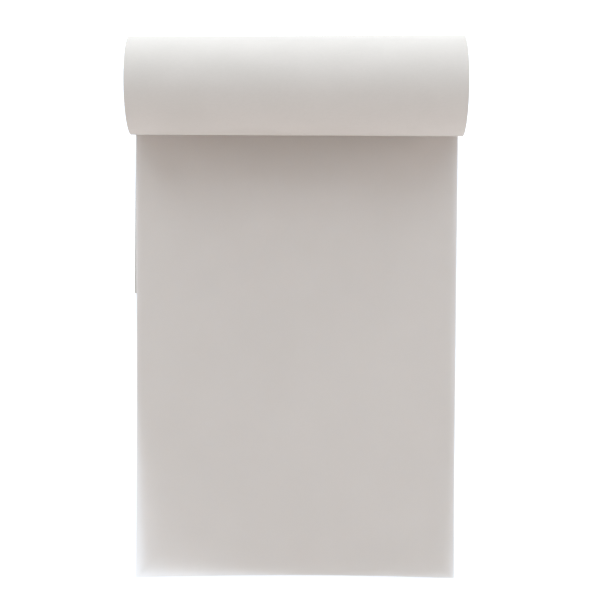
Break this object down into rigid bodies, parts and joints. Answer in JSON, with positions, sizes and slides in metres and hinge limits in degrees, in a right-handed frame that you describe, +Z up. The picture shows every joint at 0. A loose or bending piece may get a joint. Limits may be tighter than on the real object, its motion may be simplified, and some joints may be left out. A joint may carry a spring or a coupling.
{
  "type": "tracing paper pad",
  "caption": "Head-gummed pad of tracing paper on a grey back board, its card cover turned back over the head in a loose loop and tucked under the pad.",
  "frame": {"origin": "on the table under the middle of the whole length and width, the cover's loop included", "axes": "+X across the sheets to the right, +Y up the page towards the gummed head, +Z up from the table"},
  "size_m": [0.2118, 0.3506, 0.062],
  "materials": {
    "tracing_paper": "smooth translucent",
    "cover_card": "uncoated matt",
    "grey_board": "raw greyboard",
    "padding_gum": "dried gum film"
  },
  "bodies": {
    "root": {"back_board": "grey_board", "sheet_block": "tracing_paper", "first_leaf": "tracing_paper", "front_cover": "cover_card", "head_gum": "padding_gum"}
  },
  "joints": []
}
